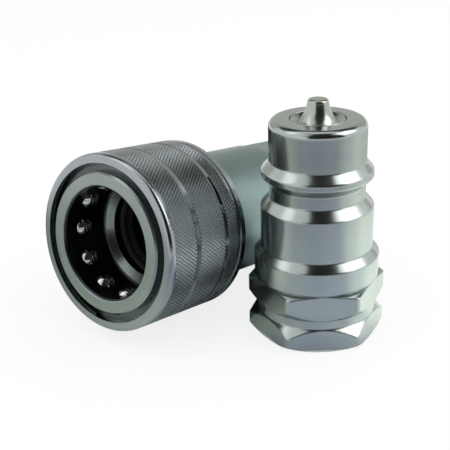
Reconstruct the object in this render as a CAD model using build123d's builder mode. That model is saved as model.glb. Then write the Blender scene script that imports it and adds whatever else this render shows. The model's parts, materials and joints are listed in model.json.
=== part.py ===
# Quick coupling with ball lock and poppet valves, for half-inch pipe: the socket lies on its side
# and the plug stands upright in front of its tail. Millimetres. The frame's origin is the centre of
# the plug's foot, +Z points up, and in plan the socket runs along +Y from its mouth to its tail.
import os
from math import atan, cos, hypot, radians, sin, tan

from build123d import *

os.makedirs("parts", exist_ok=True)

# ---------------------------------------------------------------- plug body, from the foot upwards
wrench_size = 26.0       # across the flats of both hexagons
corner_rise = 1.8        # turned corners of the plug's hexagon above its flats
foot_rim = 1.7           # the foot's chamfer, radially
foot_chamfer = 1.0       # and along the axis
hexagon_length = 12.95
hexagon_chamfer = 0.65
hexagon_relief = 0.4     # the narrow neck between the hexagon and the shoulder
relief_depth = 0.1       # below the flats
mark_groove_depth = 0.2  # turned groove round the middle of the hexagon, below the flats
mark_groove_width = 1.95
mark_groove_height = 6.2
shoulder_d = 26.9
shoulder_length = 4.9
shoulder_cone = 1.7
barrel_d = 24.0
barrel_length = 9.05
ball_cone = 2.1
neck_d = 20.4
neck_length = 2.8
collar_d = 23.7
collar_under_cone = 1.8
collar_land = 1.25
collar_front_cone = 1.8
collar_round = 0.6
head_d = 20.5
head_length = 8.85
head_round = 1.5

# ---------------------------------------------------------------- valve, the same in both halves
seat_opening_d = 11.9
seat_land = 1.4
nose_reach = 4.2         # the poppet's nose stands this far out of the face
nose_tip_d = 4.4
nose_foot_d = 7.0
nose_straight = 1.1      # the length of the nose's straight tip
nose_hollow = 0.28       # where the arc's middle lies, as a share of the nose's reach and width
nose_round = 0.8
dish_depth = 0.5
seal_length = 1.3
seal_seat_depth = 1.35   # the rubber ring's seat, radially below the seat's opening
flange_rise = 1.05       # the flange, radially above the seat's opening
flange_length = 1.5
stem_d = 5.0
stem_chamfer = 0.4
stem_reach = 1.0         # how far the stem stands out behind its guide
guide_place = 19.5       # distance from the face to the guide's arms
guide_length = 2.5
guide_arms = 4
guide_arm_width = 2.2
guide_hub_d = 8.6
valve_wire = 1.2
valve_turns = 6.5
guide_ring_thickness = 1.1
guide_ring_reach = 1.1   # how far the ring stands into the chamber
guide_ring_groove_depth = 0.6
guide_ring_opening = 50  # degrees

# ---------------------------------------------------------------- ports, G 1/2
thread_minor_d = 18.63
thread_major_d = 20.95
port_entry_rise = 0.15   # the port's chamfer, radially beyond the thread's major diameter
port_depth = 15.0
port_floor_step = 0.915  # from the thread's minor diameter in to the chamber, radially

# ---------------------------------------------------------------- socket, from its mouth to its tail
mouth_chamfer = 0.5
front_chamfer = 0.4
ball_d = 4.76
ball_count = 11
ball_place = 5.9         # distance from the mouth to the ring of balls
ball_grip = 0.62         # from the plug's neck out to the locked balls
ball_rise = 0.16         # how far the locked balls stand out of the body
ball_lift = 1.2
first_ball = -58.3       # degrees from the top, towards +X
ledge_chamfer = 1.4
seal_groove_reach = 3.2  # from the ledge back to the seal's groove
seal_section = 2.62
seal_squeeze = 0.25      # how far the seal stands into the bore
backup_width = 1.25
spigot_wall = 3.6
spigot_seal_reach = 3.0  # from the body's thread back to the groove of the adapter's seal
spigot_seal_section = 1.76
spigot_groove_width = 2.3
ring_groove_lip = 2.0    # body left behind the groove of the guide's ring
body_thread_rise = 1.5   # the body's thread, radially above the spigot
body_thread_length = 9.0
thread_relief = 0.4
adapter_wall = 1.4
passage_step = 0.2       # the adapter's passage is wider than the chamber, radially
passage_length = 6.2
tail_hexagon = 18.0
tail_rim = 1.6           # the tail's chamfer, radially
tail_chamfer = 0.8       # and along the axis

# ---------------------------------------------------------------- locking sleeve and what holds it
sleeve_length = 24.6
sleeve_wall = 2.1        # beside the spring's room
sleeve_setback = 0.3     # the sleeve's front edge lies this far behind the mouth
sleeve_travel = 4.2
sleeve_edge = 0.5
sleeve_cover = 2.9       # how far the sleeve reaches over the adapter
sleeve_land_end = 8.9    # where the land over the body ends and the spring's room begins
sleeve_wire = 1.1
sleeve_turns = 4.5
groove_depth = 0.25      # three turned grooves part the knurled bands
front_band = 8.4         # the sleeve's front edge to the first groove
front_groove_width = 1.0
narrow_band = 3.6        # between the second groove and the third
slot_groove_width = 0.7
rear_groove_width = 0.8
end_band = 1.8           # behind the third groove
slot_depth = 1.1
slot_from = 41.0         # degrees from the top, towards +X
slot_to = 61.0
stop_ring_place = 2.0
stop_ring_thickness = 0.9
stop_ring_depth = 1.07   # into the body, radially
stop_ring_rise = 1.38    # out of the body, radially
stop_ring_opening = 24   # degrees
washer_thickness = 0.9
washer_ring_thickness = 0.9
washer_ring_depth = 0.67
washer_ring_opening = 24
washer_groove_lip = 0.2  # body left between the ring's groove and the adapter's face

# ---------------------------------------------------------------- where the halves lie
plug_turn = -49.5        # degrees from +X to the middle of one flat of the plug's hexagon
mouth_x = -32.5
mouth_y = -32.25

# ---------------------------------------------------------------- named clearances
slide_gap = 0.08         # radial, between parts that slide on each other
side_gap = 0.05          # along the axis, between rings and the walls of their grooves
fit_gap = 0.03           # between parts that are pressed or screwed together
ball_gap = 0.03
head_gap = 0.1           # radial, the plug's head in the socket
mouth_gap = 0.15         # radial, the plug's barrel in the socket
seat_gap = 0.3           # between the two faces when the halves are joined
poppet_gap = 0.2         # radial, round the poppet's face
hub_gap = 0.5            # radial, between the valve's spring and the guide's hub
spring_gap = 0.34        # radial, on each side of the sleeve's spring
washer_gap = 0.24        # radial, between the washer and the sleeve
stop_ring_gap = 0.5      # radial, between the stop ring and the sleeve
spigot_end_gap = 0.5     # between the body's end and the adapter
overrun = 1.0            # how far a cut runs out of the piece that it is made in

# ---------------------------------------------------------------- worked out: plug and valve
bar_r = wrench_size / 2 + corner_rise
foot_r = bar_r - foot_rim
mark_groove_r = wrench_size / 2 - mark_groove_depth
relief_r = wrench_size / 2 - relief_depth
shoulder_foot = hexagon_length + hexagon_relief
shoulder_top = shoulder_foot + shoulder_length
barrel_foot = shoulder_top + shoulder_cone
barrel_top = barrel_foot + barrel_length
neck_foot = barrel_top + ball_cone
neck_top = neck_foot + neck_length
collar_foot = neck_top + collar_under_cone
collar_top = collar_foot + collar_land
head_foot = collar_top + collar_front_cone
plug_height = head_foot + head_length

opening_r = seat_opening_d / 2
chamber_r = thread_minor_d / 2 - port_floor_step
seat_cone_end = seat_land + chamber_r - opening_r
ring_groove_place = guide_place + guide_length + side_gap
ring_groove_end = ring_groove_place + guide_ring_thickness + side_gap
stem_end = guide_place + guide_length + stem_reach

# ---------------------------------------------------------------- worked out: socket and sleeve
ball_r = ball_d / 2
ball_step = 360 / ball_count
ball_rest = neck_d / 2 + ball_grip + ball_r      # radius of the ring of ball centres
lift_ratio = ball_lift / sleeve_travel
mouth_r = barrel_d / 2 + mouth_gap               # the barrel's end stands in the mouth too
front_r = ball_rest + ball_r - ball_rise
ledge_r = head_d / 2 + head_gap
groove_middle = (neck_foot + neck_top) / 2       # the balls stand here when the halves are joined
ledge_place = ball_place + head_foot - groove_middle - side_gap
seat_place = ball_place + plug_height - groove_middle + seat_gap
seal_groove_place = ledge_place + seal_groove_reach
seal_groove_width = seal_section + backup_width + 2 * side_gap + fit_gap
seal_groove_r = ledge_r + seal_section + fit_gap - seal_squeeze
body_end = seat_place + ring_groove_end - side_gap + ring_groove_lip
sleeve_rear = sleeve_setback + sleeve_length
shoulder_place = sleeve_rear - sleeve_cover      # the adapter's front face
body_thread_end = shoulder_place + body_thread_length
spigot_seal_place = body_thread_end + spigot_seal_reach
spigot_r = chamber_r + spigot_wall
spigot_floor_r = spigot_r - spigot_seal_section + fit_gap
body_thread_r = spigot_r + body_thread_rise
tube_r = body_thread_r + adapter_wall
passage_r = chamber_r + passage_step
spigot_bore_end = body_end + spigot_end_gap
socket_length = spigot_bore_end + passage_length + port_depth

stop_ring_inner_r = front_r - stop_ring_depth
stop_ring_outer_r = front_r + stop_ring_rise
stop_groove_end = stop_ring_place + stop_ring_thickness + 2 * side_gap
washer_ring_inner_r = front_r - washer_ring_depth
washer_groove_end = shoulder_place - washer_groove_lip
washer_groove_start = washer_groove_end - washer_ring_thickness - 2 * side_gap
washer_ring_start = washer_groove_start + side_gap
washer_end = washer_ring_start - side_gap
washer_start = washer_end - washer_thickness
spring_room_r = front_r + sleeve_wire + 2 * spring_gap
washer_r = spring_room_r - washer_gap
counterbore_r = stop_ring_outer_r + stop_ring_gap
sleeve_r = spring_room_r + sleeve_wall
rear_groove_place = sleeve_length - end_band - rear_groove_width
slot_groove_place = rear_groove_place - narrow_band - slot_groove_width

# The socket rests on its sleeve's rear edge and on the tail's hexagon.
rest_station = sleeve_rear - sleeve_edge
rest_tilt = atan((sleeve_r - wrench_size / 2) / (socket_length - rest_station))
mouth_height = rest_station * sin(rest_tilt) + sleeve_r * cos(rest_tilt)
mouth = Vector(mouth_x, mouth_y, mouth_height)

# Half planes for turned parts: X is the radius and Y the distance along the axis.
plug_half = Plane.XZ
plug_valve = Plane(origin=(0, 0, plug_height), x_dir=(1, 0, 0), z_dir=(0, 1, 0))
socket_up = Vector(0, sin(rest_tilt), cos(rest_tilt))
socket_half = Plane(origin=mouth, x_dir=socket_up, z_dir=(-1, 0, 0))
seat_centre = socket_half.from_local_coords((0, seat_place, 0))
socket_valve = Plane(origin=seat_centre, x_dir=socket_up, z_dir=(-1, 0, 0))


def axis_of(half):
    return Axis(half.origin, half.y_dir)


def turned_about(half, angle):
    """The half plane turned about its own axis, in degrees."""
    direction = half.x_dir.rotate(Axis((0, 0, 0), half.y_dir), angle)
    return Plane(origin=half.origin, x_dir=direction, z_dir=direction.cross(half.y_dir))


def across(half, station):
    """The plane square to the half's axis, at that distance along it."""
    centre = half.from_local_coords((0, station, 0))
    return Plane(origin=centre, x_dir=half.x_dir, z_dir=half.y_dir)


def section(half, *corners):
    """The face between the corners, each a radius and a distance along the axis."""
    with BuildSketch(half) as outline:
        with BuildLine():
            Polyline(*corners, close=True)
        make_face()
    return outline.sketch


def band(half, inner_r, outer_r, start, end):
    return section(half, (inner_r, start), (outer_r, start), (outer_r, end), (inner_r, end))


def rims(part, half, radius, station):
    """The part's circular edges of that radius, at that distance along the half's axis."""
    centre = half.from_local_coords((0, station, 0))
    circles = part.edges().filter_by(GeomType.CIRCLE)
    return circles.filter_by(
        lambda edge: abs(edge.radius - radius) < 0.001 and (edge.arc_center - centre).length < 0.001
    )


def open_ring(half, inner_r, outer_r, start, end, opening, turn=0):
    """A flat ring with a gap of that many degrees."""
    with BuildPart() as ring:
        flat = band(turned_about(half, turn + opening / 2), inner_r, outer_r, start, end)
        revolve(flat, axis=axis_of(half), revolution_arc=360 - opening)
    return ring.part


def round_ring(half, inner_r, section_d, station):
    """A ring of round section, such as an O-ring."""
    with BuildPart() as ring:
        with BuildSketch(half):
            with Locations((inner_r + section_d / 2, station)):
                Circle(section_d / 2)
        revolve(axis=axis_of(half))
    return ring.part


def coil(half, mean_r, wire_d, start, end, turns):
    """A coil spring whose wire touches both end planes."""
    first = start + wire_d / 2
    rise = end - start - wire_d
    with BuildPart() as spring:
        base = across(half, first)
        path = base.location * Helix(pitch=rise / turns, height=rise, radius=mean_r)
        with BuildSketch(Plane(origin=path @ 0, z_dir=path % 0)):
            Circle(wire_d / 2)
        sweep(path=path, is_frenet=True)
    return spring.part


def milled_flats(half, start, end, turn):
    """What a cutter takes off a round bar to leave a hexagon with one flat facing that way."""
    with BuildPart() as cut:
        with BuildSketch(across(half, start)):
            Circle(2 * bar_r)
            with Locations(Rotation(0, 0, turn + 30)):
                RegularPolygon(wrench_size / 2, 6, major_radius=False, mode=Mode.SUBTRACT)
        extrude(amount=end - start)
    return cut.part


def bore_for_valve(half, chamber_end):
    """Seat, cone and chamber behind a valve's face, with the groove for the guide's ring."""
    with BuildPart() as bore:
        revolve(
            section(
                half,
                (0, 0),
                (opening_r, 0),
                (opening_r, seat_land),
                (chamber_r, seat_cone_end),
                (chamber_r, chamber_end),
                (0, chamber_end),
            ),
            axis=axis_of(half),
        )
        groove_r = chamber_r + guide_ring_groove_depth
        revolve(band(half, 0, groove_r, ring_groove_place, ring_groove_end), axis=axis_of(half))
    return bore.part


def bore_for_port(half, mouth_station, inwards, inner_r):
    """A G 1/2 port at the major diameter, with a chamfered mouth and a coned floor."""
    wall_r = thread_major_d / 2
    entry_r = wall_r + port_entry_rise
    floor = mouth_station + inwards * port_depth
    with BuildPart() as bore:
        revolve(
            section(
                half,
                (0, mouth_station),
                (entry_r, mouth_station),
                (wall_r, mouth_station + inwards * port_entry_rise),
                (wall_r, floor),
                (inner_r, floor + inwards * (wall_r - inner_r)),
                (0, floor + inwards * (wall_r - inner_r)),
            ),
            axis=axis_of(half),
        )
    return bore.part


# ---------------------------------------------------------------- the valve's pieces
def valve_poppet(half):
    """Nose, dished face, seat for the rubber ring, flange and stem, turned in one piece."""
    face_r = opening_r - poppet_gap
    seal_seat_r = opening_r - seal_seat_depth
    flange_r = opening_r + flange_rise
    nose_foot_r = nose_foot_d / 2
    tip_r = nose_tip_d / 2
    tip_start = nose_straight - nose_reach
    seal_start = seat_land + side_gap
    flange_start = seal_start + seal_length + side_gap
    flange_end = flange_start + flange_length
    with BuildPart() as poppet:
        with BuildSketch(half):
            with BuildLine():
                Polyline(
                    (0, stem_end),
                    (stem_d / 2, stem_end),
                    (stem_d / 2, flange_end),
                    (flange_r, flange_end),
                    (flange_r, flange_start),
                    (seal_seat_r, flange_start),
                    (seal_seat_r, seal_start - side_gap),
                    (face_r, seal_start - side_gap),
                    (face_r, 0),
                    (nose_foot_r, dish_depth),
                )
                ThreePointArc(
                    (nose_foot_r, dish_depth),
                    (tip_r + nose_hollow * (nose_foot_r - tip_r), -nose_hollow * nose_reach),
                    (tip_r, tip_start),
                )
                Polyline(
                    (tip_r, tip_start),
                    (tip_r, -nose_reach),
                    (0, -nose_reach),
                    (0, stem_end),
                )
            make_face()
        revolve(axis=axis_of(half))
        fillet(rims(poppet, half, tip_r, -nose_reach), nose_round)
        chamfer(rims(poppet, half, stem_d / 2, stem_end), stem_chamfer)
    return poppet.part


def valve_seal(half):
    """The rubber ring, with a face parallel to the seat's cone."""
    start = seat_land + side_gap
    end = start + seal_length
    inner_r = opening_r - seal_seat_depth + fit_gap
    cone_r = opening_r - seat_land - side_gap
    with BuildPart() as seal:
        revolve(
            section(half, (inner_r, start), (cone_r + start, start), (cone_r + end, end), (inner_r, end)),
            axis=axis_of(half),
        )
    return seal.part


def valve_guide(half):
    """A hub on arms that centres the stem in the chamber."""
    hub_r = guide_hub_d / 2
    wall_r = chamber_r - side_gap
    with BuildPart() as guide:
        with BuildSketch(across(half, guide_place)):
            Circle(hub_r)
            with PolarLocations(0, guide_arms):
                with Locations((wall_r / 2, 0)):
                    Rectangle(wall_r, guide_arm_width)
            Circle(wall_r, mode=Mode.INTERSECT)
        extrude(amount=guide_length)
        with BuildSketch(across(half, guide_place)):
            Circle(stem_d / 2 + slide_gap)
        extrude(amount=guide_length, mode=Mode.SUBTRACT)
    return guide.part


def valve_spring(half):
    start = seat_land + seal_length + 2 * side_gap + flange_length
    mean_r = guide_hub_d / 2 + hub_gap + valve_wire / 2
    return coil(half, mean_r, valve_wire, start, guide_place, valve_turns)


def guide_ring(half):
    start = ring_groove_place + side_gap / 2
    outer_r = chamber_r + guide_ring_groove_depth - side_gap
    inner_r = chamber_r - guide_ring_reach
    end = start + guide_ring_thickness
    return open_ring(half, inner_r, outer_r, start, end, guide_ring_opening)


# ---------------------------------------------------------------- plug body
with BuildPart() as plug_body:
    groove_low = mark_groove_height - mark_groove_width / 2
    groove_high = mark_groove_height + mark_groove_width / 2
    revolve(
        section(
            plug_half,
            (0, 0),
            (foot_r, 0),
            (bar_r, foot_chamfer),
            (bar_r, groove_low - (bar_r - mark_groove_r)),
            (mark_groove_r, groove_low),
            (mark_groove_r, groove_high),
            (bar_r, groove_high + (bar_r - mark_groove_r)),
            (bar_r, hexagon_length - hexagon_chamfer),
            (relief_r, hexagon_length),
            (relief_r, shoulder_foot),
            (shoulder_d / 2, shoulder_foot),
            (shoulder_d / 2, shoulder_top),
            (barrel_d / 2, barrel_foot),
            (barrel_d / 2, barrel_top),
            (neck_d / 2, neck_foot),
            (neck_d / 2, neck_top),
            (collar_d / 2, collar_foot),
            (collar_d / 2, collar_top),
            (head_d / 2, head_foot),
            (head_d / 2, plug_height),
            (0, plug_height),
        ),
        axis=axis_of(plug_half),
    )
    fillet(rims(plug_body, plug_half, head_d / 2, plug_height), head_round)
    fillet(rims(plug_body, plug_half, collar_d / 2, collar_top), collar_round)
    add(milled_flats(plug_half, 0, hexagon_length, plug_turn), mode=Mode.SUBTRACT)
    add(bore_for_valve(plug_valve, plug_height - port_depth), mode=Mode.SUBTRACT)
    add(bore_for_port(plug_half, 0, 1, chamber_r), mode=Mode.SUBTRACT)

# ---------------------------------------------------------------- socket body
with BuildPart() as socket_body:
    revolve(
        section(
            socket_half,
            (0, 0),
            (front_r, 0),
            (front_r, shoulder_place),
            (body_thread_r, shoulder_place),
            (body_thread_r, body_thread_end),
            (spigot_r, body_thread_end),
            (spigot_r, body_end),
            (0, body_end),
        ),
        axis=axis_of(socket_half),
    )
    chamfer(rims(socket_body, socket_half, front_r, 0), front_chamfer)
    for floor_r, start, end in (
        (stop_ring_inner_r - side_gap, stop_ring_place, stop_groove_end),
        (washer_ring_inner_r - side_gap, washer_groove_start, washer_groove_end),
        (spigot_floor_r, spigot_seal_place, spigot_seal_place + spigot_groove_width),
    ):
        revolve(
            band(socket_half, floor_r, front_r + overrun, start, end),
            axis=axis_of(socket_half),
            mode=Mode.SUBTRACT,
        )
    revolve(
        section(
            socket_half,
            (0, 0),
            (mouth_r + mouth_chamfer, 0),
            (mouth_r, mouth_chamfer),
            (mouth_r, ledge_place),
            (ledge_r + ledge_chamfer, ledge_place),
            (ledge_r, ledge_place + ledge_chamfer),
            (ledge_r, seat_place),
            (0, seat_place),
        ),
        axis=axis_of(socket_half),
        mode=Mode.SUBTRACT,
    )
    revolve(
        band(socket_half, 0, seal_groove_r, seal_groove_place, seal_groove_place + seal_groove_width),
        axis=axis_of(socket_half),
        mode=Mode.SUBTRACT,
    )
    add(bore_for_valve(socket_valve, body_end - seat_place), mode=Mode.SUBTRACT)
    # A hole for each ball, narrowed at the mouth's wall so that the ball can't fall through.
    hole_r = ball_r + slide_gap
    cone_slope = tan(radians(30))
    cone_r = (ball_r + ball_gap) / cos(radians(30))
    cone_start = ball_rest - (cone_r - hole_r) / cone_slope
    cone_end = mouth_r - overrun
    end_r = cone_r - cone_slope * (ball_rest - cone_end)
    for number in range(ball_count):
        spoke = turned_about(socket_half, first_ball + number * ball_step)
        ball_axis = Axis(spoke.from_local_coords((0, ball_place, 0)), spoke.x_dir)
        with BuildSketch(spoke):
            with BuildLine():
                Polyline(
                    (cone_end, ball_place),
                    (cone_end, ball_place + end_r),
                    (cone_start, ball_place + hole_r),
                    (front_r + overrun, ball_place + hole_r),
                    (front_r + overrun, ball_place),
                    close=True,
                )
            make_face()
        revolve(axis=ball_axis, mode=Mode.SUBTRACT)

# ---------------------------------------------------------------- socket adapter
with BuildPart() as socket_adapter:
    thread_bore_end = body_thread_end + thread_relief
    revolve(
        section(
            socket_half,
            (body_thread_r + fit_gap, shoulder_place),
            (tube_r, shoulder_place),
            (tube_r, socket_length - tail_chamfer),
            (tube_r - tail_rim, socket_length),
            (passage_r, socket_length),
            (passage_r, spigot_bore_end),
            (spigot_r + slide_gap, spigot_bore_end),
            (spigot_r + slide_gap, thread_bore_end),
            (body_thread_r + fit_gap, thread_bore_end),
        ),
        axis=axis_of(socket_half),
    )
    add(milled_flats(socket_half, socket_length - tail_hexagon, socket_length, 0), mode=Mode.SUBTRACT)
    add(bore_for_port(socket_half, socket_length, -1, passage_r), mode=Mode.SUBTRACT)

# ---------------------------------------------------------------- locking sleeve
with BuildPart() as sleeve:
    # The cone touches every ball at its outer side, in each place of the sleeve.
    cone_reach = ball_rest + ball_gap + ball_r * hypot(1, lift_ratio)
    land_r = front_r + slide_gap
    land_start = ball_place + (cone_reach - land_r) / lift_ratio
    step_r = cone_reach + lift_ratio * (ball_place - stop_groove_end)
    revolve(
        section(
            socket_half,
            (counterbore_r, sleeve_setback),
            (sleeve_r, sleeve_setback),
            (sleeve_r, sleeve_rear),
            (spring_room_r, sleeve_rear),
            (spring_room_r, sleeve_land_end),
            (land_r, sleeve_land_end),
            (land_r, land_start),
            (step_r, stop_groove_end),
            (counterbore_r, stop_groove_end),
        ),
        axis=axis_of(socket_half),
    )
    chamfer(rims(sleeve, socket_half, sleeve_r, sleeve_setback), sleeve_edge)
    chamfer(rims(sleeve, socket_half, sleeve_r, sleeve_rear), sleeve_edge)
    for place, width in (
        (front_band, front_groove_width),
        (slot_groove_place, slot_groove_width),
        (rear_groove_place, rear_groove_width),
    ):
        start = sleeve_setback + place
        revolve(
            band(socket_half, sleeve_r - groove_depth, sleeve_r + overrun, start, start + width),
            axis=axis_of(socket_half),
            mode=Mode.SUBTRACT,
        )
    slot_start = sleeve_setback + slot_groove_place
    slot_face = band(
        turned_about(socket_half, slot_from),
        sleeve_r - slot_depth,
        sleeve_r + overrun,
        slot_start,
        slot_start + slot_groove_width,
    )
    revolve(slot_face, axis=axis_of(socket_half), revolution_arc=slot_to - slot_from, mode=Mode.SUBTRACT)

# ---------------------------------------------------------------- rings, washer and spring of the sleeve
sleeve_stop_ring = open_ring(
    socket_half,
    stop_ring_inner_r,
    stop_ring_outer_r,
    stop_ring_place + side_gap,
    stop_ring_place + side_gap + stop_ring_thickness,
    stop_ring_opening,
    turn=180,
)
spring_washer_ring = open_ring(
    socket_half,
    washer_ring_inner_r,
    washer_r,
    washer_ring_start,
    washer_ring_start + washer_ring_thickness,
    washer_ring_opening,
    turn=180,
)
with BuildPart() as spring_washer:
    revolve(
        band(socket_half, front_r + slide_gap, washer_r, washer_start, washer_end),
        axis=axis_of(socket_half),
    )
sleeve_spring = coil(
    socket_half,
    front_r + spring_gap + sleeve_wire / 2,
    sleeve_wire,
    sleeve_land_end + fit_gap,
    washer_start - fit_gap,
    sleeve_turns,
)

# ---------------------------------------------------------------- seals
nose_seal = round_ring(
    socket_half,
    seal_groove_r - fit_gap - seal_section,
    seal_section,
    seal_groove_place + side_gap + seal_section / 2,
)
with BuildPart() as backup_ring:
    backup_end = seal_groove_place + seal_groove_width - fit_gap
    revolve(
        band(
            socket_half,
            ledge_r + fit_gap,
            seal_groove_r - fit_gap,
            backup_end - backup_width,
            backup_end,
        ),
        axis=axis_of(socket_half),
    )
adapter_seal = round_ring(
    socket_half,
    spigot_floor_r + fit_gap,
    spigot_seal_section,
    spigot_seal_place + spigot_groove_width / 2,
)

# ---------------------------------------------------------------- names and files
pieces = {
    "plug_body": plug_body.part,
    "socket_body": socket_body.part,
    "socket_adapter": socket_adapter.part,
    "adapter_seal": adapter_seal,
    "sleeve": sleeve.part,
    "sleeve_spring": sleeve_spring,
    "sleeve_stop_ring": sleeve_stop_ring,
    "spring_washer": spring_washer.part,
    "spring_washer_ring": spring_washer_ring,
    "nose_seal": nose_seal,
    "backup_ring": backup_ring.part,
}
for side, half in (("plug", plug_valve), ("socket", socket_valve)):
    pieces[f"{side}_poppet"] = valve_poppet(half)
    pieces[f"{side}_poppet_seal"] = valve_seal(half)
    pieces[f"{side}_poppet_spring"] = valve_spring(half)
    pieces[f"{side}_valve_guide"] = valve_guide(half)
    pieces[f"{side}_guide_ring"] = guide_ring(half)
for number in range(ball_count):
    spoke = turned_about(socket_half, first_ball + number * ball_step)
    with BuildPart(Plane(spoke.from_local_coords((ball_rest, ball_place, 0)))) as locking_ball:
        Sphere(ball_r)
    pieces[f"locking_ball_{number + 1:02d}"] = locking_ball.part

for name, piece in pieces.items():
    piece.label = name
    export_step(piece, f"parts/{name}.step")
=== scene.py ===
import json
import math

import bmesh
import bpy
from mathutils import Matrix, Vector


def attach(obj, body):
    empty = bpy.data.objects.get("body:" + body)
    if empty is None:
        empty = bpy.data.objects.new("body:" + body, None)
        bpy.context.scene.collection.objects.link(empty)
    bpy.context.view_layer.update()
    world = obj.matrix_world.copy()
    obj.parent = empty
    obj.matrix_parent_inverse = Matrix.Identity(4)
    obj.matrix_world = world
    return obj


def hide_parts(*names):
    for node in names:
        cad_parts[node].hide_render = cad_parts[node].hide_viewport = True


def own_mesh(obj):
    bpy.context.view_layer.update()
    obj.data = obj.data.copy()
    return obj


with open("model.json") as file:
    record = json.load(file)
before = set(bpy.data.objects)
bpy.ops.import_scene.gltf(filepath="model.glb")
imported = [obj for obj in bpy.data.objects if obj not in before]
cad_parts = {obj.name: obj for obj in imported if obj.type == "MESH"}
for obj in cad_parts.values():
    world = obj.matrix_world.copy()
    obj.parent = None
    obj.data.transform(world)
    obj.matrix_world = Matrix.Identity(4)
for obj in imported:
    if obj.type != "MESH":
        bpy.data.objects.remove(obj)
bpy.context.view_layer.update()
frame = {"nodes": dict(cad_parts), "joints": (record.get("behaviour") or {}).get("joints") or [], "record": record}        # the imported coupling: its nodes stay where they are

mm = 0.001
nodes = frame["nodes"]
joints = {joint["name"]: joint for joint in frame["joints"]}
mounts = {mount["name"]: mount for mount in frame["record"]["mounts"]}

# The socket's own frame: Y runs from its mouth to its tail, Z is the top and X is level.
socketAxis = Vector(joints["sleeve_slide"]["axis"]).normalized()
socketUp = Vector((1, 0, 0)).cross(socketAxis)
boreStation = 14.4 * mm         # the bore mount's distance behind the mouth
mouthPoint = Vector(mounts["socket_bore"]["pos_m"]) - socketAxis * boreStation
socketPlace = Matrix((
    (1, socketAxis.x, socketUp.x, mouthPoint.x),
    (0, socketAxis.y, socketUp.y, mouthPoint.y),
    (0, socketAxis.z, socketUp.z, mouthPoint.z),
    (0, 0, 0, 1),
))
socketTilt = math.asin(-socketAxis.z)
print("frame loaded:", len(nodes), "nodes")


# What the sections below share: it adds nodes and objects.

def addNode(tree, kind, links=(), **settings):
    node = tree.nodes.new(kind)
    for key, value in settings.items():
        setattr(node, key, value)
    for socket, source in dict(links).items():
        if isinstance(source, bpy.types.NodeSocket):
            tree.links.new(source, node.inputs[socket])
        else:
            node.inputs[socket].default_value = source
    return node


def compute(tree, operation, *sources):
    return addNode(tree, "ShaderNodeMath", dict(enumerate(sources)), operation=operation).outputs[0]


def addObject(name, data):
    thing = bpy.data.objects.new(name, data)
    bpy.context.scene.collection.objects.link(thing)
    return thing


# Camera and stage. Azimuths are counted from the camera's side of the coupling towards its right.

cameraView = {
    "place": (0.099852, -0.150712, 0.100849),
    "azimuth": 39.779,      # degrees, as all the angles here
    "downward": 23.039,
    "roll": -1.772,
    "lens": 72.764,
    "sensor": 36,
    "clip": 0.01,
}

studio = {
    "floorSize": 6.0,
    "paper": 0.92,          # the floor's own white
    "shadowShare": 0.18,    # how much of the floor's white comes from the light that falls on it
    "skyForLight": 0.95,
    "lamps": {
        "leftBox": {
            "azimuth": -64, "height": 48, "distance": 0.55,
            "width": 0.42, "tall": 0.36, "power": 0.32,
        },
        "rightBox": {
            "azimuth": 76, "height": 44, "distance": 0.55,
            "width": 0.40, "tall": 0.36, "power": 0.85,
        },
    },
    # Cloths and sheets that the camera doesn't see: the metal shows them in its reflections.
    # The first four are cloths that stand; the two beside the sleeve and the tube lie on the floor and are
    # painted shade of the floor.
    "clothsAndShadeSheets": {
        "overCamera": {
            "from": -29, "to": 57, "low": 2, "high": 80, "away": 0.75, "tone": (0.02, 0.02, 0.02),
        },
        "leftWing": {
            "from": -70, "to": -29, "low": 30, "high": 75, "away": 0.76, "tone": (0.22, 0.26, 0.28),
        },
        "behind": {
            "from": 126, "to": 234, "low": 6, "high": 40, "away": 0.90, "tone": (0.62, 0.62, 0.58),
        },
        "aboveBehind": {
            "from": 108, "to": 252, "low": 40, "high": 66, "away": 0.90, "tone": (0.05, 0.06, 0.06),
        },
        # painted shade: these two sheets on the floor stand for the floor's shade beside the sleeve and the
        # tube
        "paintedShadeBesideSleeve": {
            "from": -140, "to": -91, "near": 0.012, "far": 0.046, "lift": 0.0006, "tone": (0.12, 0.13, 0.14),
        },
        "paintedShadeBesideTube": {
            "from": -205, "to": -150, "near": 0.015, "far": 0.042, "lift": 0.0006, "tone": (0.42, 0.47, 0.46),
        },
    },
    "sheetColumns": 12,
    # painted shade and light: a ring on the floor whose tones stand for the shade and light the floor shows
    # round the plug
    "floorShadeAndLightRing": {
        "from": -180,
        "to": 180,
        "columns": 72,
        "near": 0.012,
        "far": 0.20,
        "lift": 0.0004,
        "light": (1.45, 0.78),          # its tones are lighter or darker by these
        "lightEnds": (0.035, 0.115),    # at these distances from the plug's axis
        "tones": (
            (-180, (0.030, 0.035, 0.030)),
            (-118, (0.035, 0.042, 0.035)),
            (-102, (0.42, 0.48, 0.42)),
            (-72, (0.56, 0.61, 0.56)),
            (-44, (0.38, 0.41, 0.44)),
            (-8, (0.34, 0.37, 0.44)),
            (32, (0.40, 0.43, 0.48)),
            (64, (0.74, 0.79, 0.77)),
            (92, (0.96, 1.00, 0.93)),
            (140, (0.75, 0.78, 0.74)),
            (172, (0.06, 0.07, 0.06)),
        ),
    },
}


def towards(azimuth, height):
    turn = math.radians(cameraView["azimuth"] + azimuth)
    rise = math.radians(height)
    return Vector((math.sin(turn) * math.cos(rise), -math.cos(turn) * math.cos(rise), math.sin(rise)))


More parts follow.
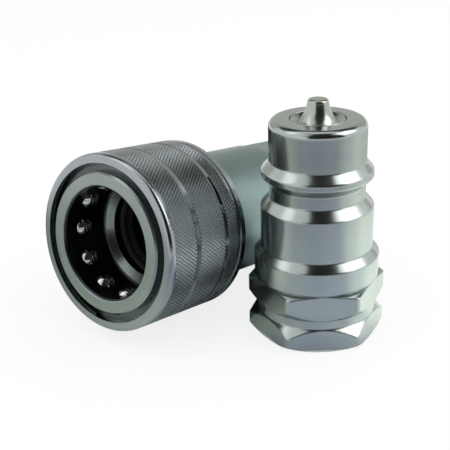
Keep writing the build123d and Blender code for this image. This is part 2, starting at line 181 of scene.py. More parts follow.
def makeCamera(view):
    turn = math.radians(view["azimuth"])
    down = math.radians(view["downward"])
    roll = math.radians(view["roll"])
    level = Vector((math.cos(turn), math.sin(turn), 0))
    forward = Vector((
        -math.sin(turn) * math.cos(down),
        math.cos(turn) * math.cos(down),
        -math.sin(down),
    ))
    right = math.cos(roll) * level + math.sin(roll) * level.cross(forward)
    up = right.cross(forward)
    data = bpy.data.cameras.new("camera")
    data.lens = view["lens"]
    data.sensor_width = view["sensor"]
    data.clip_start = view["clip"]
    camera = addObject("camera", data)
    rotation = Matrix((right, up, -forward)).transposed()
    camera.matrix_world = Matrix.Translation(Vector(view["place"])) @ rotation.to_4x4()
    bpy.context.scene.camera = camera


def makeSoftBox(name, box):
    data = bpy.data.lights.new(name, "AREA")
    data.shape = "RECTANGLE"
    data.size = box["width"]
    data.size_y = box["tall"]
    data.energy = box["power"]
    lamp = addObject(name, data)
    way = towards(box["azimuth"], box["height"])
    lamp.location = way * box["distance"]
    lamp.rotation_mode = "QUATERNION"
    lamp.rotation_quaternion = way.to_track_quat("Z", "Y")


def seenRays(tree):
    # 1 for camera, glossy and transmission rays, which is where the white surroundings show
    paths = tree.nodes.new("ShaderNodeLightPath").outputs
    seen = compute(tree, "MAXIMUM", paths["Is Camera Ray"], paths["Is Glossy Ray"])
    return compute(tree, "MAXIMUM", seen, paths["Is Transmission Ray"])


def makeSurroundings(values):
    world = bpy.data.worlds.new("surroundings")
    world.use_nodes = True
    bpy.context.scene.world = world
    tree = world.node_tree
    seen = tree.nodes["Background"]
    seen.inputs["Color"].default_value = (1, 1, 1, 1)
    seen.inputs["Strength"].default_value = 1.0
    falling = addNode(tree, "ShaderNodeBackground", {
        "Color": (1, 1, 1, 1),
        "Strength": values["skyForLight"],
    })
    mix = addNode(tree, "ShaderNodeMixShader", {0: seenRays(tree), 1: falling.outputs[0], 2: seen.outputs[0]})
    tree.links.new(mix.outputs[0], tree.nodes["World Output"].inputs["Surface"])


def makeFloor(values):
    half = values["floorSize"] / 2
    corners = [(-half, -half, 0), (half, -half, 0), (half, half, 0), (-half, half, 0)]
    mesh = bpy.data.meshes.new("floor")
    mesh.from_pydata(corners, [], [(0, 1, 2, 3)])
    floor = addObject("floor", mesh)
    material = bpy.data.materials.new("whitePaper")
    material.use_nodes = True
    tree = material.node_tree
    paper = tree.nodes["Principled BSDF"]
    paper.inputs["Base Color"].default_value = (values["paper"], values["paper"], values["paper"], 1)
    paper.inputs["Roughness"].default_value = 0.9
    paper.inputs["Specular IOR Level"].default_value = 0.0
    white = addNode(tree, "ShaderNodeEmission", {"Color": (1, 1, 1, 1), "Strength": 1.0})
    share = compute(tree, "MULTIPLY", seenRays(tree), 1 - values["shadowShare"])
    mix = addNode(tree, "ShaderNodeMixShader", {0: share, 1: paper.outputs[0], 2: white.outputs[0]})
    tree.links.new(mix.outputs[0], tree.nodes["Material Output"].inputs["Surface"])
    mesh.materials.append(material)


def makeClothOrShadeSheet(name, card, columns):
    # a curved cloth that stands round the coupling, or a flat sheet that lies on the floor, where its tones
    # are painted shade and light of the floor
    points = []
    for row in range(2):
        for column in range(columns + 1):
            azimuth = card["from"] + (card["to"] - card["from"]) * column / columns
            if "near" in card:
                reach = card["far"] if row else card["near"]
                points.append(towards(azimuth, 0) * reach + Vector((0, 0, card["lift"])))
            else:
                height = card["high"] if row else card["low"]
                points.append(towards(azimuth, height) * card["away"])
    faces = [(i, i + 1, i + columns + 2, i + columns + 1) for i in range(columns)]
    mesh = bpy.data.meshes.new(name)
    mesh.from_pydata(points, [], faces)
    material = bpy.data.materials.new(name)
    material.use_nodes = True
    sheetSurface = material.node_tree.nodes["Principled BSDF"]
    sheetSurface.inputs["Roughness"].default_value = 1.0
    sheetSurface.inputs["Specular IOR Level"].default_value = 0.0
    if "tone" in card:
        sheetSurface.inputs["Base Color"].default_value = (*card["tone"], 1)
    mesh.materials.append(material)
    thing = addObject(name, mesh)
    thing.visible_camera = False
    thing.visible_diffuse = False
    thing.visible_shadow = False
    return material.node_tree


def makeFloorShadeAndLightRing(ring):
    # painted shade and light of the floor round the plug, seen only in reflections: its tone changes softly
    # round the plug, and from its inner side outwards
    tree = makeClothOrShadeSheet("floorShadeAndLightRing", ring, ring["columns"])
    turned = addNode(tree, "ShaderNodeMapping", {
        "Vector": tree.nodes.new("ShaderNodeTexCoord").outputs["Object"],
        "Rotation": (0, 0, math.radians(-cameraView["azimuth"])),
    }).outputs[0]
    apart = addNode(tree, "ShaderNodeSeparateXYZ", {0: turned}).outputs
    ahead = compute(tree, "MULTIPLY", apart["Y"], -1.0)
    share = addNode(tree, "ShaderNodeMapRange", {
        "Value": compute(tree, "ARCTAN2", apart["X"], ahead),
        "From Min": -math.pi,
        "From Max": math.pi,
    })
    ramp = addNode(tree, "ShaderNodeValToRGB", {"Fac": share.outputs["Result"]})
    ramp.color_ramp.interpolation = "EASE"
    stops = ramp.color_ramp.elements
    while len(stops) < len(ring["tones"]):
        stops.new(0.5)
    for stop, (azimuth, tone) in zip(stops, ring["tones"]):
        stop.position = (azimuth + 180) / 360
        stop.color = (*tone, 1)
    reach = addNode(tree, "ShaderNodeVectorMath", {0: turned}, operation="LENGTH")
    light = addNode(tree, "ShaderNodeMapRange", {
        "Value": reach.outputs["Value"],
        "From Min": ring["lightEnds"][0],
        "From Max": ring["lightEnds"][1],
        "To Min": ring["light"][0],
        "To Max": ring["light"][1],
    })
    tone = addNode(tree, "ShaderNodeVectorMath", {
        0: ramp.outputs["Color"],
        "Scale": light.outputs["Result"],
    }, operation="SCALE")
    tree.links.new(tone.outputs[0], tree.nodes["Principled BSDF"].inputs["Base Color"])


makeCamera(cameraView)
for name, box in studio["lamps"].items():
    makeSoftBox(name, box)
makeSurroundings(studio)
makeFloor(studio)
for name, card in studio["clothsAndShadeSheets"].items():
    makeClothOrShadeSheet(name, card, studio["sheetColumns"])
makeFloorShadeAndLightRing(studio["floorShadeAndLightRing"])
bpy.context.scene.view_settings.view_transform = "Standard"
print("camera and stage made")


# Finishes. Each is one metal, rubber or plastic, with turning marks that run round the socket's
# own axis where that is said, and round an upright one elsewhere.

knurlBands = ((1.9, 8.7), (9.7, 18.0), (18.7, 22.3))    # stations on the sleeve, in mm

finishes = {
    "plugZinc": {
        "colour": (0.465, 0.505, 0.470), "second": (0.385, 0.430, 0.425), "patch": 90, "edge": 0.60,
        "metal": 1.0, "rough": (0.14, 0.25), "marks": 2600, "markDepth": 0.003, "axis": "upright",
    },
    "socketZinc": {
        "colour": (0.37, 0.41, 0.39), "second": (0.28, 0.32, 0.305), "patch": 90, "edge": 0.14,
        "metal": 1.0, "rough": (0.22, 0.36), "marks": 2600, "markDepth": 0.004, "axis": "socket",
        # painted shade: the bore is darkened inside this radius, for the shade deep in the socket
        "bore": {"radius": 12.5, "colour": (0.045, 0.050, 0.055), "ledge": (12.08, 13.52)},
    },
    "tubeZinc": {
        "colour": (0.30, 0.40, 0.395), "second": (0.23, 0.31, 0.31), "patch": 60,
        "metal": 1.0, "rough": (0.30, 0.45), "marks": 1800, "markDepth": 0.003, "axis": "socket",
    },
    "sleeveZinc": {
        # painted shade and highlight: the knurl's darker colour here is painted shade, the smooth rings'
        # lighter colour below a painted highlight; their roughness is the real finish
        "colour": (0.29, 0.32, 0.325), "second": (0.20, 0.225, 0.23), "patch": 110,
        "metal": 1.0, "rough": (0.24, 0.38), "marks": 2600, "markDepth": 0.004, "axis": "socket",
        "smooth": {"colour": (0.36, 0.385, 0.405), "rough": 0.20},
    },
    "valveSteel": {
        "colour": (0.47, 0.50, 0.45), "second": (0.38, 0.42, 0.38), "patch": 140,
        "metal": 1.0, "rough": (0.18, 0.32), "marks": 3200, "markDepth": 0.003, "axis": "upright",
    },
    "springSteel": {
        "colour": (0.34, 0.34, 0.34), "second": (0.24, 0.24, 0.25), "patch": 300,
        "metal": 1.0, "rough": (0.25, 0.40), "marks": 4000, "markDepth": 0.002, "axis": "upright",
    },
    "ringSteel": {
        "colour": (0.13, 0.15, 0.15), "second": (0.08, 0.09, 0.09), "patch": 220, "edge": 0.12,
        "metal": 1.0, "rough": (0.14, 0.26), "marks": 2400, "markDepth": 0.002, "axis": "socket",
    },
    "ballSteel": {
        "colour": (0.62, 0.62, 0.63), "second": (0.52, 0.52, 0.54), "patch": 260,
        "metal": 1.0, "rough": (0.04, 0.09), "marks": 900, "markDepth": 0.0005, "axis": "upright",
    },
    "sealRubber": {
        "colour": (0.018, 0.018, 0.018), "second": (0.030, 0.029, 0.028), "patch": 300,
        "metal": 0.0, "rough": (0.45, 0.65), "marks": 1500, "markDepth": 0.004, "axis": "upright",
    },
    "backupPlastic": {
        "colour": (0.040, 0.040, 0.044), "second": (0.026, 0.026, 0.030), "patch": 240,
        "metal": 0.0, "rough": (0.40, 0.55), "marks": 1200, "markDepth": 0.002, "axis": "socket",
    },
}
marking = {
    "axes": {"upright": ((0, 0, 0), 0), "socket": (mouthPoint, -math.pi / 2 - socketTilt)},
    "around": 0.03,             # how much slower the marks change round the axis than along it
    "markDetail": 3,
    "patchDetail": 4,
    "markShare": 0.35,          # of what sets tone and roughness; the patches give the rest
    "toneEnds": (0.36, 0.66),
    "roughEnds": (0.3, 0.7),
    "edgeSamples": 8,
}


def inBand(tree, along, ends):
    # 1 between two stations behind the socket's mouth, whichever way the axis is counted
    low, high = ends
    station = compute(tree, "ABSOLUTE", along)
    return compute(tree, "COMPARE", station, (low + high) / 2 * mm, (high - low) / 2 * mm)


def mixTones(tree, share, first, second):
    mix = addNode(tree, "ShaderNodeMix", {"Factor": share, "A": first, "B": second}, data_type="RGBA")
    return mix.outputs["Result"]


def paintedBoreShade(tree, bore, colour, radius, along):
    # painted shade: dark inside its radius, for the shade deep in the bore, but for the cut ledge
    ledge = inBand(tree, along, bore["ledge"])
    inside = compute(tree, "LESS_THAN", radius, bore["radius"] * mm)
    where = addNode(tree, "ShaderNodeMath", {0: inside, 1: ledge}, operation="SUBTRACT", use_clamp=True)
    return mixTones(tree, where.outputs[0], colour, (*bore["colour"], 1))


def smoothRings(tree, smooth, colour, roughness, along):
    # another roughness where the sleeve isn't knurled, which is its real finish, and a lighter tone there:
    # the smooth rings' lighter tone is a painted highlight and the knurled bands' darker tone is painted
    # shade
    knurled = inBand(tree, along, knurlBands[0])
    for ends in knurlBands[1:]:
        knurled = compute(tree, "MAXIMUM", knurled, inBand(tree, along, ends))
    polish = addNode(tree, "ShaderNodeMix", {
        "Factor": knurled,
        "A": smooth["rough"],
        "B": roughness,
    }, data_type="FLOAT")
    return mixTones(tree, knurled, (*smooth["colour"], 1), colour), polish.outputs["Result"]


def makeFinish(name, values):
    material = bpy.data.materials.new(name)
    material.use_nodes = True
    tree = material.node_tree
    shader = tree.nodes["Principled BSDF"]
    shader.inputs["Metallic"].default_value = values["metal"]

    origin, turn = marking["axes"][values["axis"]]
    place = addNode(tree, "ShaderNodeMapping", {    # the piece's own axis becomes Z
        "Vector": tree.nodes.new("ShaderNodeTexCoord").outputs["Object"],
        "Location": origin,
        "Rotation": (turn, 0, 0),
    }, vector_type="TEXTURE").outputs[0]
    apart = addNode(tree, "ShaderNodeSeparateXYZ", {0: place}).outputs
    level = addNode(tree, "ShaderNodeCombineXYZ", {"X": apart["X"], "Y": apart["Y"]}).outputs[0]
    radius = addNode(tree, "ShaderNodeVectorMath", {0: level}, operation="LENGTH").outputs["Value"]
    around = addNode(tree, "ShaderNodeVectorMath", {
        0: level,
        "Scale": marking["around"],
    }, operation="SCALE")
    along = addNode(tree, "ShaderNodeCombineXYZ", {"Z": compute(tree, "ADD", radius, apart["Z"])})
    lines = addNode(tree, "ShaderNodeVectorMath", {
        0: around.outputs[0],
        1: along.outputs[0],
    }, operation="ADD")

    marks = addNode(tree, "ShaderNodeTexNoise", {
        "Vector": lines.outputs[0],
        "Scale": values["marks"],
        "Detail": marking["markDetail"],
    }).outputs["Fac"]
    patches = addNode(tree, "ShaderNodeTexNoise", {
        "Vector": place,
        "Scale": values["patch"],
        "Detail": marking["patchDetail"],
    }).outputs["Fac"]
    rest = compute(tree, "MULTIPLY", patches, 1 - marking["markShare"])
    blend = compute(tree, "MULTIPLY_ADD", marks, marking["markShare"], rest)
    ramp = addNode(tree, "ShaderNodeValToRGB", {"Fac": blend})
    tones = (values["second"], values["colour"])
    for stop, position, tone in zip(ramp.color_ramp.elements, marking["toneEnds"], tones):
        stop.position = position
        stop.color = (*tone, 1)
    colour = ramp.outputs["Color"]
    roughness = addNode(tree, "ShaderNodeMapRange", {
        "Value": blend,
        "From Min": marking["roughEnds"][0],
        "From Max": marking["roughEnds"][1],
        "To Min": values["rough"][0],
        "To Max": values["rough"][1],
    }).outputs["Result"]
    if "bore" in values:
        colour = paintedBoreShade(tree, values["bore"], colour, radius, apart["Z"])
    if "smooth" in values:
        colour, roughness = smoothRings(tree, values["smooth"], colour, roughness, apart["Z"])
    tree.links.new(colour, shader.inputs["Base Color"])
    tree.links.new(roughness, shader.inputs["Roughness"])

    bump = addNode(tree, "ShaderNodeBump", {
        "Strength": 1.0,
        "Distance": values["markDepth"] * mm,
        "Height": marks,
    })
    if "edge" in values:    # edges that are broken by a small round
        edge = addNode(tree, "ShaderNodeBevel", {
            "Radius": values["edge"] * mm,
        }, samples=marking["edgeSamples"])
        tree.links.new(edge.outputs[0], bump.inputs["Normal"])
    tree.links.new(bump.outputs["Normal"], shader.inputs["Normal"])
    return material


materials = {name: makeFinish(name, values) for name, values in finishes.items()}

finishOfSlot = {
    "plug_zinc": "plugZinc",
    "socket_zinc": "socketZinc",
    "tube_zinc": "tubeZinc",
    "sleeve_zinc": "sleeveZinc",
    "valve_steel": "valveSteel",
    "spring_steel": "springSteel",
    "ring_steel": "ringSteel",
    "ball_steel": "ballSteel",
    "seal_rubber": "sealRubber",
    "backup_plastic": "backupPlastic",
}
for row in frame["record"]["subparts"]:
    for slot in nodes[row["node"]].material_slots:
        slot.material = materials[finishOfSlot[row["material_slot"]]]
print("finishes made:", len(materials))


# Geometry node trees: one sets a knurled band, one winds a coil spring and one winds a thread.

steps = {"coil": 40, "wire": 12, "thread": 72}      # points in one turn
threadEnds = {"turns": 0.5, "size": 0.05}           # where a thread fades out, and to how much


def startTree(name, inputs):
    tree = bpy.data.node_groups.new(name, "GeometryNodeTree")
    tree.interface.new_socket("Geometry", in_out="OUTPUT", socket_type="NodeSocketGeometry")
    tree.interface.new_socket("Geometry", in_out="INPUT", socket_type="NodeSocketGeometry")
    for label, kind in inputs:
        tree.interface.new_socket(label, in_out="INPUT", socket_type="NodeSocket" + kind)
    return tree, tree.nodes.new("NodeGroupInput").outputs


def finishTree(tree, geometry, material, smooth):
    real = addNode(tree, "GeometryNodeRealizeInstances", {"Geometry": geometry})
    shaded = addNode(tree, "GeometryNodeSetShadeSmooth", {
        "Geometry": real.outputs[0],
        "Shade Smooth": smooth,
    })
    coated = addNode(tree, "GeometryNodeSetMaterial", {
        "Geometry": shaded.outputs[0],
        "Material": material,
    })
    output = tree.nodes.new("NodeGroupOutput")
    tree.links.new(coated.outputs[0], output.inputs[0])


def knurlTree():
    # diamonds stand in staggered rows half a pitch apart, so that their edges meet
    tree, given = startTree("knurl", (
        ("Radius", "Float"), ("Depth", "Float"), ("Teeth", "Int"), ("Start", "Float"),
        ("Rows", "Int"), ("Pitch", "Float"), ("Tip", "Float"), ("Material", "Material"),
    ))
    count = compute(tree, "MULTIPLY", given["Teeth"], given["Rows"])
    number = tree.nodes.new("GeometryNodeInputIndex").outputs[0]
    middle = compute(tree, "ADD", number, 0.5)
    row = compute(tree, "FLOOR", compute(tree, "DIVIDE", middle, given["Teeth"]))
    column = compute(tree, "SUBTRACT", number, compute(tree, "MULTIPLY", row, given["Teeth"]))
    stagger = compute(tree, "MULTIPLY", compute(tree, "MODULO", row, 2.0), 0.5)
    step = compute(tree, "DIVIDE", 2 * math.pi, given["Teeth"])
    angle = compute(tree, "MULTIPLY", compute(tree, "ADD", column, stagger), step)
    root = compute(tree, "SUBTRACT", given["Radius"], given["Depth"])
    halfStep = compute(tree, "MULTIPLY", step, 0.5)
    seat = compute(tree, "MULTIPLY", root, compute(tree, "COSINE", halfStep))
    halfPitch = compute(tree, "MULTIPLY", given["Pitch"], 0.5)
    station = compute(tree, "MULTIPLY_ADD", compute(tree, "ADD", row, 1.0), halfPitch, given["Start"])
    place = addNode(tree, "ShaderNodeCombineXYZ", {
        "X": compute(tree, "MULTIPLY", seat, compute(tree, "SINE", angle)),
        "Y": station,
        "Z": compute(tree, "MULTIPLY", seat, compute(tree, "COSINE", angle)),
    })
    points = addNode(tree, "GeometryNodePoints", {"Count": count, "Position": place.outputs[0]})
    tooth = addNode(tree, "GeometryNodeMeshCone", {
        "Vertices": 4, "Radius Top": given["Tip"], "Radius Bottom": 1.0, "Depth": 1.0,
    }, fill_type="NGON")
    turn = addNode(tree, "FunctionNodeAxisAngleToRotation", {"Axis": (0, 1, 0), "Angle": angle})
    size = addNode(tree, "ShaderNodeCombineXYZ", {
        "X": compute(tree, "MULTIPLY", root, compute(tree, "SINE", halfStep)),
        "Y": halfPitch,
        "Z": given["Depth"],
    })
    teeth = addNode(tree, "GeometryNodeInstanceOnPoints", {
        "Points": points.outputs[0],
        "Instance": tooth.outputs["Mesh"],
        "Rotation": turn.outputs[0],
        "Scale": size.outputs[0],
    })
    together = tree.nodes.new("GeometryNodeJoinGeometry")
    tree.links.new(given["Geometry"], together.inputs[0])
    tree.links.new(teeth.outputs[0], together.inputs[0])
    finishTree(tree, together.outputs[0], given["Material"], False)
    return tree


def springTree():
    tree, given = startTree("spring", (
        ("Middle", "Float"), ("Wire", "Float"), ("Start", "Float"), ("End", "Float"),
        ("Turns", "Float"), ("Material", "Material"),
    ))
    halfWire = compute(tree, "MULTIPLY", given["Wire"], 0.5)
    length = compute(tree, "SUBTRACT", given["End"], given["Start"])
    coil = addNode(tree, "GeometryNodeCurveSpiral", {
        "Resolution": steps["coil"],
        "Rotations": given["Turns"],
        "Start Radius": given["Middle"],
        "End Radius": given["Middle"],
        "Height": compute(tree, "SUBTRACT", length, given["Wire"]),
    })
    shift = addNode(tree, "ShaderNodeCombineXYZ", {"Z": compute(tree, "ADD", given["Start"], halfWire)})
    moved = addNode(tree, "GeometryNodeSetPosition", {
        "Geometry": coil.outputs[0],
        "Offset": shift.outputs[0],
    })
    section = addNode(tree, "GeometryNodeCurvePrimitiveCircle", {
        "Resolution": steps["wire"],
        "Radius": halfWire,
    })
    wire = addNode(tree, "GeometryNodeCurveToMesh", {
        "Curve": moved.outputs[0],
        "Profile Curve": section.outputs[0],
        "Fill Caps": True,
    })
    finishTree(tree, wire.outputs[0], given["Material"], True)
    return tree


def threadTree():
    # a ridge wound on the port's wall, with its foot in the wall, fading out at both ends
    tree, given = startTree("thread", (
        ("Wall", "Float"), ("Crest", "Float"), ("Sink", "Float"), ("Pitch", "Float"),
        ("Start", "Float"), ("Turns", "Float"), ("Foot Width", "Float"), ("Crest Width", "Float"),
        ("Material", "Material"),
    ))
    line = compute(tree, "ADD", given["Wall"], given["Sink"])
    reach = compute(tree, "SUBTRACT", line, given["Crest"])
    helix = addNode(tree, "GeometryNodeCurveSpiral", {
        "Resolution": steps["thread"],
        "Rotations": given["Turns"],
        "Start Radius": line,
        "End Radius": line,
        "Height": compute(tree, "MULTIPLY", given["Turns"], given["Pitch"]),
    })
    shift = addNode(tree, "ShaderNodeCombineXYZ", {"Z": given["Start"]})
    moved = addNode(tree, "GeometryNodeSetPosition", {
        "Geometry": helix.outputs[0],
        "Offset": shift.outputs[0],
    })
    upright = addNode(tree, "GeometryNodeSetCurveNormal", {"Curve": moved.outputs[0]}, mode="Z_UP")
    ridge = addNode(tree, "GeometryNodeCurvePrimitiveQuadrilateral", {
        "Height": reach,
        "Bottom Width": given["Foot Width"],
        "Top Width": given["Crest Width"],
        "Offset": 0.0,
    }, mode="TRAPEZOID")
    inward = addNode(tree, "ShaderNodeCombineXYZ", {"X": compute(tree, "MULTIPLY", reach, 0.5)})
    section = addNode(tree, "GeometryNodeTransform", {
        "Geometry": ridge.outputs[0],
        "Translation": inward.outputs[0],
        "Rotation": (0, 0, -math.pi / 2),
    })
    along = tree.nodes.new("GeometryNodeSplineParameter").outputs["Factor"]
    nearEnd = compute(tree, "MINIMUM", along, compute(tree, "SUBTRACT", 1.0, along))
    turnsFromEnd = compute(tree, "MULTIPLY", nearEnd, given["Turns"])
    fade = compute(tree, "MULTIPLY", turnsFromEnd, 1 / threadEnds["turns"])
    thread = addNode(tree, "GeometryNodeCurveToMesh", {
        "Curve": upright.outputs[0],
        "Profile Curve": section.outputs[0],
        "Scale": compute(tree, "MAXIMUM", compute(tree, "MINIMUM", fade, 1.0), threadEnds["size"]),
        "Fill Caps": True,
    })
    finishTree(tree, thread.outputs[0], given["Material"], True)
    return tree


def grow(tree, values, base=None):
    # the tree's result as a plain mesh, from a holder that is thrown away
    holder = addObject("holder", base or bpy.data.meshes.new("holder"))
    modifier = holder.modifiers.new("tree", "NODES")
    modifier.node_group = tree
    for item in tree.interface.items_tree:
        if item.in_out == "INPUT" and item.name in values:
            modifier[item.identifier] = values[item.name]
    depsgraph = bpy.context.evaluated_depsgraph_get()
    mesh = bpy.data.meshes.new_from_object(holder.evaluated_get(depsgraph))
    bpy.data.objects.remove(holder)
    return mesh


# Sleeve: a turned core with its grooves and its slot, under three knurled bands.

sleeveForm = {
    "crest": 19.3,
    "depth": 0.2,
    "teeth": 150,
    "tip": 0.38,            # a diamond's top, as a share of its foot
    "rows": (11, 14, 5),    # of diamonds, in each knurled band
    "coreGap": 0.02,        # the core lies this far under the knurl's roots
    "bore": 17.3,
    "face": 0.3,
    "front": 0.95,          # radius of the front edge
    "frontSteps": 8,
    "frontRing": (1.85, 1.9),
    # Each groove starts, reaches its floor, leaves its floor and ends at these stations.
    "grooves": ((8.7, 8.72, 9.68, 9.7), (17.98, 18.0, 18.7, 18.72), (22.3, 22.32, 23.06, 23.1)),
    "grooveDepth": 0.25,
    "rearEdge": ((19.3, 24.4), (18.8, 24.9)),
    # From the rear: room for the spring, the land that holds the balls and the cone that frees them.
    "inside": ((17.2, 24.9), (17.2, 8.9), (15.5, 8.9), (15.5, 6.618), (16.533, 3.0), (17.3, 3.0)),
    "columns": 240,
    "slotGroove": 1,
    "slot": (41, 61),       # degrees from the top, towards +X
    "slotFloor": 17.7,
    "slotEnd": 0.15,        # degrees that its end walls lean by
    "slotClear": 0.5,       # degrees round the slot's ends that hold no other column
    "sharp": 14,            # degrees from which an edge stays sharp
}


def sleeveCore(form):
    crest = form["crest"]
    under = crest - form["depth"] - form["coreGap"]
    floor = crest - form["grooveDepth"]
    front = form["front"]
    face = form["face"]
    curve = [math.radians(90 * i / form["frontSteps"]) for i in range(form["frontSteps"] + 1)]
    profile = [(form["bore"], face)]
    profile += [
        (crest - front + front * math.sin(turn), face + front - front * math.cos(turn)) for turn in curve
    ]
    profile += [(crest, form["frontRing"][0]), (under, form["frontRing"][1])]
    for number, (edge, low, high, farEdge) in enumerate(form["grooves"]):
        if number == form["slotGroove"]:
            slotRows = (len(profile) + 1, len(profile) + 2)
        last = number == len(form["grooves"]) - 1
        profile += [(under, edge), (floor, low), (floor, high), (crest if last else under, farEdge)]
    profile += [*form["rearEdge"], *form["inside"]]
    low, high = form["slot"]
    lean = form["slotEnd"]
    angles = {360 * i / form["columns"] for i in range(form["columns"])}
    clear = form["slotClear"]
    angles = {angle for angle in angles if min(abs(angle - low), abs(angle - high)) > clear}
    angles |= {low - lean, low + lean, high - lean, high + lean}
    points = []
    for angle in sorted(angles):
        turn = math.radians(angle)
        cut = low < angle < high
        for row, (radius, station) in enumerate(profile):
            if cut and row in slotRows:
                radius = form["slotFloor"]
            points.append((radius * math.sin(turn) * mm, station * mm, radius * math.cos(turn) * mm))
    rows = len(profile)
    total = len(points)
    faces = []
    for start in range(0, total, rows):
        for row in range(rows):
            after = (row + 1) % rows
            beside = (start + rows) % total
            faces.append((start + row, start + after, beside + after, beside + row))
    mesh = bpy.data.meshes.new("sleeveCore")
    mesh.from_pydata(points, [], faces)
    return mesh


def makeSleeve(form):
    knurl = knurlTree()
    mesh = sleeveCore(form)
    for (start, end), rows in zip(knurlBands, form["rows"]):
        pitch = (end - start) / ((rows + 1) / 2)
        mesh = grow(knurl, {
            "Radius": form["crest"] * mm,
            "Depth": form["depth"] * mm,
            "Teeth": form["teeth"],
            "Start": start * mm,
            "Rows": rows,
            "Pitch": pitch * mm,
            "Tip": form["tip"],
            "Material": materials["sleeveZinc"],
        }, mesh)
    mesh.transform(socketPlace)
    return mesh


mergeGap = 0.001 * mm


def tidyMesh(mesh, sharpAngle):
    # doubles merged, faces outward, edges sharp where the form turns by that many degrees
    work = bmesh.new()
    work.from_mesh(mesh)
    bmesh.ops.remove_doubles(work, verts=work.verts, dist=mergeGap)
    bmesh.ops.recalc_face_normals(work, faces=work.faces)
    for face in work.faces:
        face.smooth = True
    work.to_mesh(mesh)
    work.free()
    mesh.set_sharp_from_angle(angle=math.radians(sharpAngle))


sleeve = addObject("sleeveKnurled", makeSleeve(sleeveForm))
tidyMesh(sleeve.data, sleeveForm["sharp"])
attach(sleeve, "sleeve")
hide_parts("sleeve")
print("sleeve made:", len(sleeve.data.polygons), "faces")


# Springs, each a coil of wire between its two stations.

springForms = {
    "plugPoppetSpring": {
        "node": "plug_poppet_spring", "joint": "plug_poppet_slide",
        "middle": 5.4, "wire": 1.2, "from": 4.3, "to": 19.5, "turns": 6.5, "keep": 0.7237,
    },
    "socketPoppetSpring": {
        "node": "socket_poppet_spring", "joint": "socket_poppet_slide",
        "middle": 5.4, "wire": 1.2, "from": 25.6, "to": 40.8, "turns": 6.5, "keep": 0.7237,
    },
    "sleeveSpring": {
        "node": "sleeve_spring", "joint": "sleeve_slide",
        "middle": 16.31, "wire": 1.1, "from": 8.93, "to": 19.87, "turns": 4.5, "keep": 0.616,
    },
}
springSharp = 40
plugFace = 47.6 * mm
plugValvePlace = Matrix.Translation((0, 0, plugFace)) @ Matrix.Rotation(math.pi, 4, "Y")
socketCoilPlace = socketPlace @ Matrix.Rotation(-math.pi / 2, 4, "X")
coils = springTree()
for name, form in springForms.items():
    place = plugValvePlace if name.startswith("plug") else socketCoilPlace
    mesh = grow(coils, {
        "Middle": form["middle"] * mm,
        "Wire": form["wire"] * mm,
        "Start": form["from"] * mm,
        "End": form["to"] * mm,
        "Turns": form["turns"],
        "Material": materials["springSteel"],
    })
    mesh.transform(place)
    spring = addObject(name, mesh)
    tidyMesh(mesh, springSharp)
    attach(spring, "halves")
    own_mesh(spring)
    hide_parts(form["node"])
print("springs made")


# Valve poppets: nose, dished face, seat for the rubber ring, flange and stem.

poppetForm = {
    "columns": 96,
    "noseFoot": (4.30, 0.75),   # radius, and distance behind the valve's face
    "noseWaist": ((3.25, 0.00), (2.60, -1.45)),     # they bend the curve from foot to tip
    "noseTip": (2.20, -3.45),
    "tipRound": 0.62,
    "curveSteps": 16,
    "tipSteps": 7,
    "rim": 5.75,
    "rimRound": 0.12,
    "lip": 0.02,                # how far the dish's outer end lies under the rim
    # Behind the rim: the rubber ring's seat, the flange and the stem.
    "back": (
        (5.75, 1.4), (4.6, 1.4), (4.6, 2.8), (7.0, 2.8), (7.0, 4.3),
        (2.5, 4.3), (2.5, 22.6), (2.1, 23.0), (0, 23.0),
    ),
    "sharp": 28,
}
socketSeat = 21.3 * mm
poppets = {
    "plugPoppetTurned": {"body": "plug_valve", "node": "plug_poppet", "place": plugValvePlace},
    "socketPoppetTurned": {
        "body": "socket_valve", "node": "socket_poppet",
        "place": socketCoilPlace @ Matrix.Translation((0, 0, socketSeat)),
    },
}


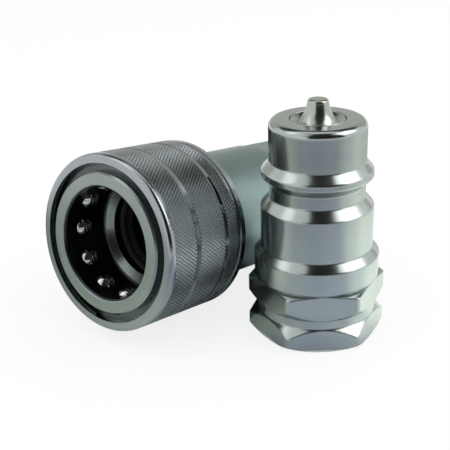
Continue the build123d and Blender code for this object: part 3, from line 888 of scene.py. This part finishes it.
def poppetProfile(form):
    tipR, tipPlace = form["noseTip"]
    soft = form["tipRound"]
    reach = tipPlace - soft
    profile = [(0, reach)]
    for i in range(form["tipSteps"] + 1):
        turn = math.radians(90 * i / form["tipSteps"])
        profile.append((tipR - soft + soft * math.sin(turn), reach + soft - soft * math.cos(turn)))
    waistFoot, waistTop = form["noseWaist"]
    corners = [Vector(point) for point in (form["noseTip"], waistTop, waistFoot, form["noseFoot"])]
    for i in range(1, form["curveSteps"] + 1):
        t = i / form["curveSteps"]
        weights = ((1 - t) ** 3, 3 * t * (1 - t) ** 2, 3 * t * t * (1 - t), t ** 3)
        profile.append(tuple(sum((w * c for w, c in zip(weights, corners)), Vector((0, 0)))))
    rim = form["rim"]
    edge = form["rimRound"]
    profile += [(rim - 2 * edge, form["lip"]), (rim - edge, 0), (rim, edge), *form["back"]]
    return profile


def turned(name, profile, columns):
    points = []
    for column in range(columns):
        turn = 2 * math.pi * column / columns
        points += [(r * math.cos(turn) * mm, r * math.sin(turn) * mm, place * mm) for r, place in profile]
    rows = len(profile)
    total = len(points)
    faces = []
    for start in range(0, total, rows):
        for row in range(rows - 1):
            beside = (start + rows) % total
            faces.append((start + row, start + row + 1, beside + row + 1, beside + row))
    mesh = bpy.data.meshes.new(name)
    mesh.from_pydata(points, [], faces)
    return mesh


for name, row in poppets.items():
    mesh = turned(name, poppetProfile(poppetForm), poppetForm["columns"])
    mesh.transform(row["place"])
    mesh.materials.append(materials["valveSteel"])
    poppet = addObject(name, mesh)
    tidyMesh(mesh, poppetForm["sharp"])
    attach(poppet, row["body"])
    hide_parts(row["node"])
print("poppets made")


# Threads in the two ports.

threadForms = {
    "plugPortThread": {"slot": "plug_zinc", "start": 1.0, "place": Matrix()},
    "socketPortThread": {"slot": "tube_zinc", "start": 54.9, "place": socketCoilPlace},
}
portThread = {
    "wall": 10.475, "crest": 9.315, "sink": 0.1, "pitch": 1.814, "turns": 6.75,
    "footWidth": 1.62, "crestWidth": 0.3, "sharp": 30,
}
threads = threadTree()
for name, form in threadForms.items():
    mesh = grow(threads, {
        "Wall": portThread["wall"] * mm,
        "Crest": portThread["crest"] * mm,
        "Sink": portThread["sink"] * mm,
        "Pitch": portThread["pitch"] * mm,
        "Start": form["start"] * mm,
        "Turns": portThread["turns"],
        "Foot Width": portThread["footWidth"] * mm,
        "Crest Width": portThread["crestWidth"] * mm,
        "Material": materials[finishOfSlot[form["slot"]]],
    })
    mesh.transform(form["place"])
    thread = addObject(name, mesh)
    tidyMesh(mesh, portThread["sharp"])
    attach(thread, "halves")
print("port threads made")
